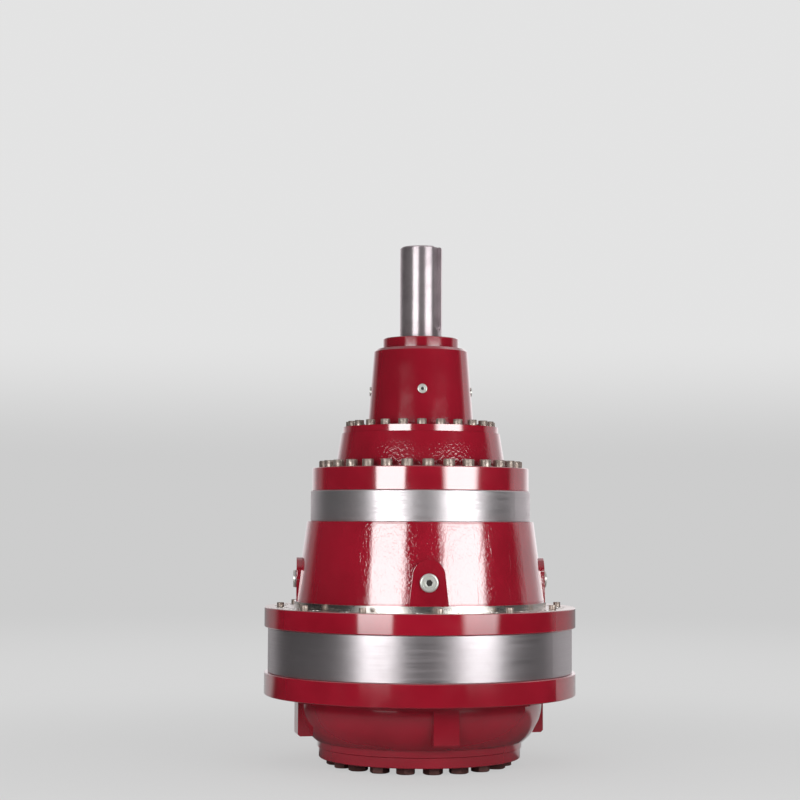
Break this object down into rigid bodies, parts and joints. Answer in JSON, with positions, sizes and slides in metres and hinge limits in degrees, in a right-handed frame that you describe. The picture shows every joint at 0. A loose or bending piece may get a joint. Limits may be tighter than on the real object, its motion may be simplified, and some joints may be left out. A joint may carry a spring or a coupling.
{
  "type": "planetary gearbox",
  "caption": "Upright planetary gearbox in crimson castings with bare ring gears, a keyed input shaft on top and a splined hollow output shaft below its mounting flange.",
  "frame": {"origin": "on the gearbox's axis, at the lower faces of the lowest screw heads", "axes": "+Z along the axis towards the input shaft, +X through the middle of the input shaft's keyway"},
  "size_m": [0.44, 0.44, 0.733],
  "materials": {
    "crimson_paint": "gloss",
    "bare_steel": "brushed",
    "ground_steel": "satin",
    "blackened_steel": "satin",
    "case_hardened_steel": "satin",
    "bearing_steel": "polished",
    "cast_iron": "matte",
    "zinc_plating": "gloss",
    "aluminium_washer": "satin",
    "bearing_bronze": "satin",
    "seal_rubber": "matte"
  },
  "bodies": {
    "housing": {"output_housing": "crimson_paint", "output_seal_cover": "crimson_paint", "output_shaft_seal": "seal_rubber", "seal_cover_screws": "blackened_steel", "lower_output_bearing_cup": "bearing_steel", "upper_output_bearing_cup": "bearing_steel", "stage_3_ring_gear": "bare_steel", "intermediate_housing": "crimson_paint", "oil_plug_washers": "aluminium_washer", "oil_plugs": "zinc_plating", "middle_bearing_outer_race": "bearing_steel", "stage_2_ring_gear": "bare_steel", "upper_cover": "crimson_paint", "stage_1_ring_gear": "case_hardened_steel", "stage_1_ring_circlip": "blackened_steel", "input_housing": "crimson_paint", "input_plugs": "zinc_plating", "input_bearing_outer_races": "bearing_steel", "input_bearing_circlip": "blackened_steel", "input_bearing_spacer": "bearing_steel", "input_shaft_seal": "seal_rubber", "joint_seal_rings": "seal_rubber", "upper_cover_screws": "blackened_steel", "input_housing_screws": "blackened_steel", "upper_flange_screws": "blackened_steel", "lower_flange_screws": "blackened_steel"},
    "output_shaft_group": {"output_carrier": "cast_iron", "lower_output_bearing_cone": "bearing_steel", "upper_output_bearing_cone": "bearing_steel", "output_lock_nut": "blackened_steel", "stage_3_planet_pins": "bearing_steel"},
    "lower_output_bearing_roller_set": {"lower_output_bearing_rollers": "bearing_steel"},
    "upper_output_bearing_roller_set": {"upper_output_bearing_rollers": "bearing_steel"},
    "middle_shaft_group": {"stage_3_sun_gear": "case_hardened_steel", "stage_2_carrier": "cast_iron", "stage_2_planet_pins": "bearing_steel", "stage_2_planet_bushes": "bearing_bronze", "middle_bearing_inner_race": "bearing_steel"},
    "middle_bearing_roller_set": {"middle_bearing_rollers": "bearing_steel"},
    "first_carrier_group": {"stage_2_sun_gear": "case_hardened_steel", "stage_1_carrier": "cast_iron", "stage_1_planet_pins": "bearing_steel"},
    "input_shaft_group": {"input_shaft": "ground_steel", "stage_1_sun_gear": "case_hardened_steel", "input_bearing_inner_races": "bearing_steel"},
    "input_bearing_roller_sets": {"input_bearing_rollers": "bearing_steel"},
    "stage_3_planet_1": {"stage_3_planet_gear_1": "case_hardened_steel"},
    "stage_3_planet_1_roller_set": {"stage_3_planet_rollers_1": "bearing_steel"},
    "stage_3_planet_2": {"stage_3_planet_gear_2": "case_hardened_steel"},
    "stage_3_planet_2_roller_set": {"stage_3_planet_rollers_2": "bearing_steel"},
    "stage_3_planet_3": {"stage_3_planet_gear_3": "case_hardened_steel"},
    "stage_3_planet_3_roller_set": {"stage_3_planet_rollers_3": "bearing_steel"},
    "stage_3_planet_4": {"stage_3_planet_gear_4": "case_hardened_steel"},
    "stage_3_planet_4_roller_set": {"stage_3_planet_rollers_4": "bearing_steel"},
    "stage_2_planet_1": {"stage_2_planet_gear_1": "case_hardened_steel"},
    "stage_2_planet_2": {"stage_2_planet_gear_2": "case_hardened_steel"},
    "stage_2_planet_3": {"stage_2_planet_gear_3": "case_hardened_steel"},
    "stage_1_planet_1": {"stage_1_planet_gear_1": "case_hardened_steel"},
    "stage_1_planet_2": {"stage_1_planet_gear_2": "case_hardened_steel"},
    "stage_1_planet_3": {"stage_1_planet_gear_3": "case_hardened_steel"}
  },
  "joints": [
    {"name": "output_spin", "type": "hinge", "parent": "housing", "child": "output_shaft_group", "pos_m": [0, 0, 0], "axis": [0, 0, 1], "continuous": true},
    {"name": "lower_output_roller_spin", "type": "hinge", "parent": "housing", "child": "lower_output_bearing_roller_set", "pos_m": [0, 0, 0.044], "axis": [0, 0, 1], "continuous": true},
    {"name": "upper_output_roller_spin", "type": "hinge", "parent": "housing", "child": "upper_output_bearing_roller_set", "pos_m": [0, 0, 0.081], "axis": [0, 0, 1], "continuous": true},
    {"name": "middle_shaft_spin", "type": "hinge", "parent": "housing", "child": "middle_shaft_group", "pos_m": [0, 0, 0], "axis": [0, 0, 1], "continuous": true},
    {"name": "middle_roller_spin", "type": "hinge", "parent": "housing", "child": "middle_bearing_roller_set", "pos_m": [0, 0, 0.274], "axis": [0, 0, 1], "continuous": true},
    {"name": "first_carrier_spin", "type": "hinge", "parent": "housing", "child": "first_carrier_group", "pos_m": [0, 0, 0], "axis": [0, 0, 1], "continuous": true},
    {"name": "input_spin", "type": "hinge", "parent": "housing", "child": "input_shaft_group", "pos_m": [0, 0, 0], "axis": [0, 0, 1], "continuous": true},
    {"name": "input_roller_spin", "type": "hinge", "parent": "housing", "child": "input_bearing_roller_sets", "pos_m": [0, 0, 0.5265], "axis": [0, 0, 1], "continuous": true},
    {"name": "stage_3_planet_1_spin", "type": "hinge", "parent": "output_shaft_group", "child": "stage_3_planet_1", "pos_m": [0.108, 0, 0.1605], "axis": [0, 0, 1], "continuous": true},
    {"name": "stage_3_planet_1_roller_spin", "type": "hinge", "parent": "output_shaft_group", "child": "stage_3_planet_1_roller_set", "pos_m": [0.108, 0, 0.1605], "axis": [0, 0, 1], "continuous": true},
    {"name": "stage_3_planet_2_spin", "type": "hinge", "parent": "output_shaft_group", "child": "stage_3_planet_2", "pos_m": [0, 0.108, 0.1605], "axis": [0, 0, 1], "continuous": true},
    {"name": "stage_3_planet_2_roller_spin", "type": "hinge", "parent": "output_shaft_group", "child": "stage_3_planet_2_roller_set", "pos_m": [0, 0.108, 0.1605], "axis": [0, 0, 1], "continuous": true},
    {"name": "stage_3_planet_3_spin", "type": "hinge", "parent": "output_shaft_group", "child": "stage_3_planet_3", "pos_m": [-0.108, 0, 0.1605], "axis": [0, 0, 1], "continuous": true},
    {"name": "stage_3_planet_3_roller_spin", "type": "hinge", "parent": "output_shaft_group", "child": "stage_3_planet_3_roller_set", "pos_m": [-0.108, 0, 0.1605], "axis": [0, 0, 1], "continuous": true},
    {"name": "stage_3_planet_4_spin", "type": "hinge", "parent": "output_shaft_group", "child": "stage_3_planet_4", "pos_m": [0, -0.108, 0.1605], "axis": [0, 0, 1], "continuous": true},
    {"name": "stage_3_planet_4_roller_spin", "type": "hinge", "parent": "output_shaft_group", "child": "stage_3_planet_4_roller_set", "pos_m": [0, -0.108, 0.1605], "axis": [0, 0, 1], "continuous": true},
    {"name": "stage_2_planet_1_spin", "type": "hinge", "parent": "middle_shaft_group", "child": "stage_2_planet_1", "pos_m": [0.078, 0, 0.3615], "axis": [0, 0, 1], "continuous": true},
    {"name": "stage_2_planet_2_spin", "type": "hinge", "parent": "middle_shaft_group", "child": "stage_2_planet_2", "pos_m": [-0.039, 0.06755, 0.3615], "axis": [0, 0, 1], "continuous": true},
    {"name": "stage_2_planet_3_spin", "type": "hinge", "parent": "middle_shaft_group", "child": "stage_2_planet_3", "pos_m": [-0.039, -0.06755, 0.3615], "axis": [0, 0, 1], "continuous": true},
    {"name": "stage_1_planet_1_spin", "type": "hinge", "parent": "first_carrier_group", "child": "stage_1_planet_1", "pos_m": [0.0585, 0, 0.424], "axis": [0, 0, 1], "continuous": true},
    {"name": "stage_1_planet_2_spin", "type": "hinge", "parent": "first_carrier_group", "child": "stage_1_planet_2", "pos_m": [-0.02925, 0.05066, 0.424], "axis": [0, 0, 1], "continuous": true},
    {"name": "stage_1_planet_3_spin", "type": "hinge", "parent": "first_carrier_group", "child": "stage_1_planet_3", "pos_m": [-0.02925, -0.05066, 0.424], "axis": [0, 0, 1], "continuous": true}
  ],
  "couplings": [
    {"joint": "lower_output_roller_spin", "follows": "output_spin", "ratio": 0.46619},
    {"joint": "upper_output_roller_spin", "follows": "output_spin", "ratio": 0.46361},
    {"joint": "middle_shaft_spin", "follows": "output_spin", "ratio": 4.5},
    {"joint": "middle_roller_spin", "follows": "output_spin", "ratio": 1.9957},
    {"joint": "first_carrier_spin", "follows": "output_spin", "ratio": 19.5},
    {"joint": "input_spin", "follows": "output_spin", "ratio": 84.5},
    {"joint": "input_roller_spin", "follows": "output_spin", "ratio": 35.973},
    {"joint": "stage_3_planet_1_spin", "follows": "output_spin", "ratio": -2.8},
    {"joint": "stage_3_planet_1_roller_spin", "follows": "output_spin", "ratio": -1.7},
    {"joint": "stage_3_planet_2_spin", "follows": "output_spin", "ratio": -2.8},
    {"joint": "stage_3_planet_2_roller_spin", "follows": "output_spin", "ratio": -1.7},
    {"joint": "stage_3_planet_3_spin", "follows": "output_spin", "ratio": -2.8},
    {"joint": "stage_3_planet_3_roller_spin", "follows": "output_spin", "ratio": -1.7},
    {"joint": "stage_3_planet_4_spin", "follows": "output_spin", "ratio": -2.8},
    {"joint": "stage_3_planet_4_roller_spin", "follows": "output_spin", "ratio": -1.7},
    {"joint": "stage_2_planet_1_spin", "follows": "output_spin", "ratio": -12.857},
    {"joint": "stage_2_planet_2_spin", "follows": "output_spin", "ratio": -12.857},
    {"joint": "stage_2_planet_3_spin", "follows": "output_spin", "ratio": -12.857},
    {"joint": "stage_1_planet_1_spin", "follows": "output_spin", "ratio": -55.714},
    {"joint": "stage_1_planet_2_spin", "follows": "output_spin", "ratio": -55.714},
    {"joint": "stage_1_planet_3_spin", "follows": "output_spin", "ratio": -55.714}
  ]
}
